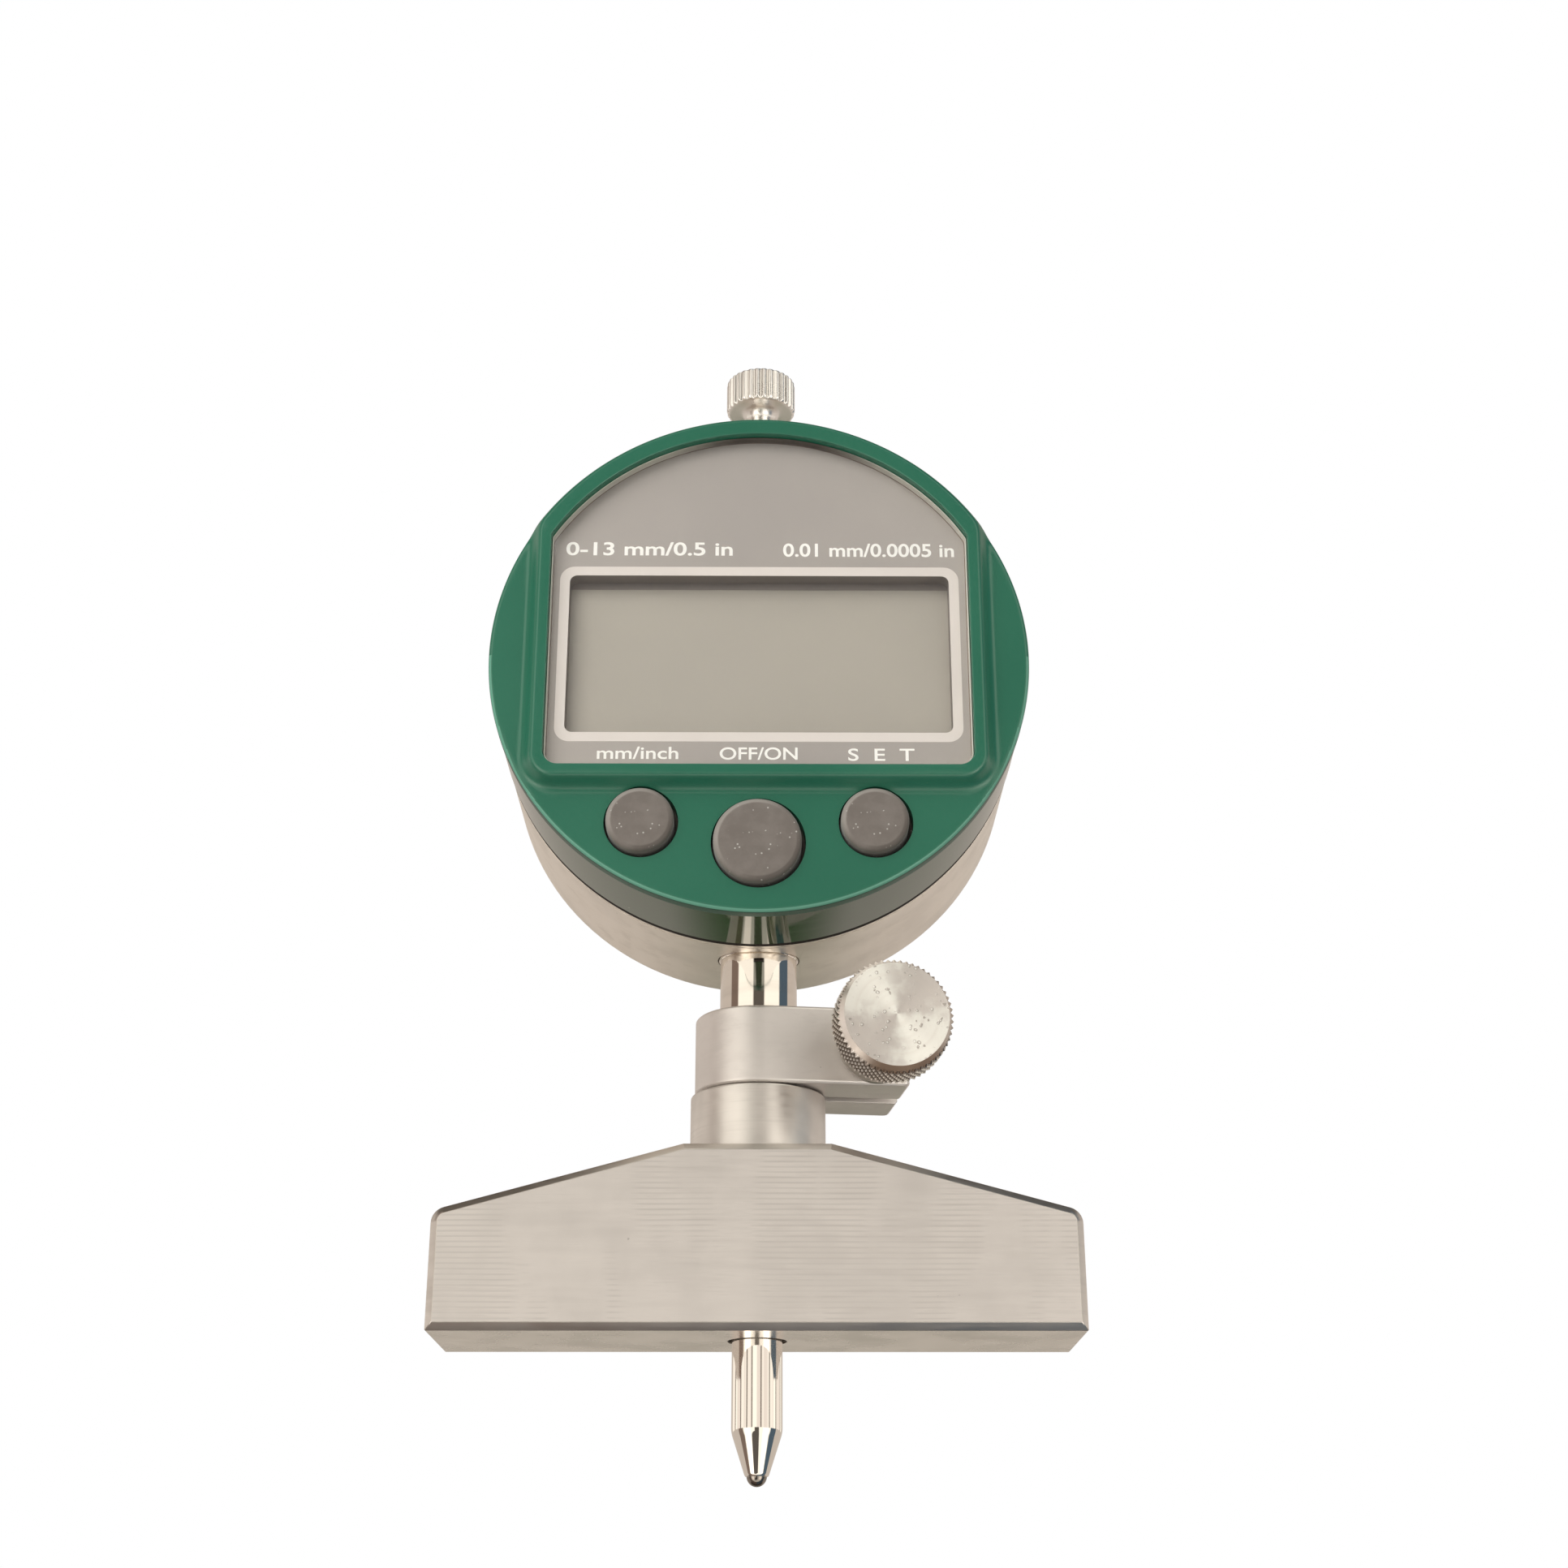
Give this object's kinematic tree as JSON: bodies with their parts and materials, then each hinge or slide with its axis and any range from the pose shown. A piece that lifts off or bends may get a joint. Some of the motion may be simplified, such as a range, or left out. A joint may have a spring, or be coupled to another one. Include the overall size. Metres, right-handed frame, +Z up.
{
  "type": "digital depth indicator",
  "caption": "Round digital indicator with an arched display panel, push buttons and a sprung spindle, clamped by its stem in a shouldered depth base.",
  "frame": {"origin": "centre of the base's lower reference face, on the spindle's axis", "axes": "+Z up along the spindle, away from the measured surface; the display faces -Y; +X runs along the base to the right of the display"},
  "size_m": [0.0636, 0.0432, 0.1236],
  "materials": {
    "ground_steel": "finely ground",
    "turned_steel": "turned",
    "dark_steel": "plain",
    "polished_steel": "polished",
    "satin_metal": "satin",
    "green_plastic": "satin moulded",
    "green_gloss": "smooth lacquer",
    "panel_print": "clear sheet, printed behind",
    "dark_plastic": "moulded",
    "display_glass": "blank liquid-crystal display",
    "black_rubber": "matte",
    "grey_rubber": "matte",
    "board": "solder mask",
    "brass": "plain",
    "scale_glass": "etched strip",
    "carbide": "polished"
  },
  "bodies": {
    "base": {"depth_base": "ground_steel", "guide_sleeve": "turned_steel"},
    "clamp": {"clamp_ring": "ground_steel", "clamp_washer": "dark_steel"},
    "knob": {"clamp_knob": "turned_steel", "clamp_screw": "dark_steel"},
    "head": {"front_cover": "green_plastic", "display_panel": "panel_print", "display_bezel": "dark_plastic", "display_glass": "display_glass", "elastomer_strips": "black_rubber", "main_board": "board", "switch_domes": "dark_steel", "middle_case": "green_gloss", "seal_ring": "black_rubber", "rear_case": "satin_metal", "rear_cover": "satin_metal", "cover_screw_1": "dark_steel", "cover_screw_2": "dark_steel", "cover_screw_3": "dark_steel", "cover_screw_4": "dark_steel", "mounting_lug": "satin_metal", "battery_holder": "dark_plastic", "battery_contact": "brass", "coin_cell": "polished_steel", "stem": "polished_steel", "stem_nut": "dark_steel", "lower_bushing": "brass", "upper_bushing": "polished_steel", "guide_rod": "polished_steel", "reader_board": "board", "return_spring": "dark_steel"},
    "plunger": {"spindle": "polished_steel", "scale_carrier": "dark_steel", "scale_strip": "scale_glass", "contact_rod": "polished_steel", "contact_ball": "carbide", "lifting_cap": "turned_steel"},
    "units_key": {"units_button": "grey_rubber"},
    "power_key": {"power_button": "grey_rubber"},
    "zero_key": {"zero_button": "grey_rubber"},
    "battery_lid": {"battery_cap": "dark_plastic"}
  },
  "joints": [
    {"name": "clamp_swivel", "type": "hinge", "parent": "base", "child": "clamp", "pos_m": [0, 0, 0.0286], "axis": [0, 0, 1], "continuous": true},
    {"name": "knob_turn", "type": "hinge", "parent": "clamp", "child": "knob", "pos_m": [0.01276, -0.01123, 0.0286], "axis": [0.1219, -0.9925, 0], "range_deg": [0, 360]},
    {"name": "head_slide", "type": "slide", "parent": "base", "child": "head", "axis": [0, 0, 1], "range_m": [-0.003, 0.008]},
    {"name": "spindle_slide", "type": "slide", "parent": "head", "child": "plunger", "axis": [0, 0, 1], "range_m": [0, 0.0138], "stiffness_N_per_m": 35, "springref_m": -0.03, "deforming": ["return_spring"]},
    {"name": "units_press", "type": "slide", "parent": "head", "child": "units_key", "axis": [0, 1, 0], "range_m": [0, 0.0005], "stiffness_N_per_m": 600, "springref_m": -0.0005},
    {"name": "power_press", "type": "slide", "parent": "head", "child": "power_key", "axis": [0, 1, 0], "range_m": [0, 0.0005], "stiffness_N_per_m": 600, "springref_m": -0.0005},
    {"name": "zero_press", "type": "slide", "parent": "head", "child": "zero_key", "axis": [0, 1, 0], "range_m": [0, 0.0005], "stiffness_N_per_m": 600, "springref_m": -0.0005},
    {"name": "battery_cap_turn", "type": "hinge", "parent": "head", "child": "battery_lid", "pos_m": [0, 0.0101, 0.05395], "axis": [0, 1, 0], "range_deg": [0, 60]}
  ]
}
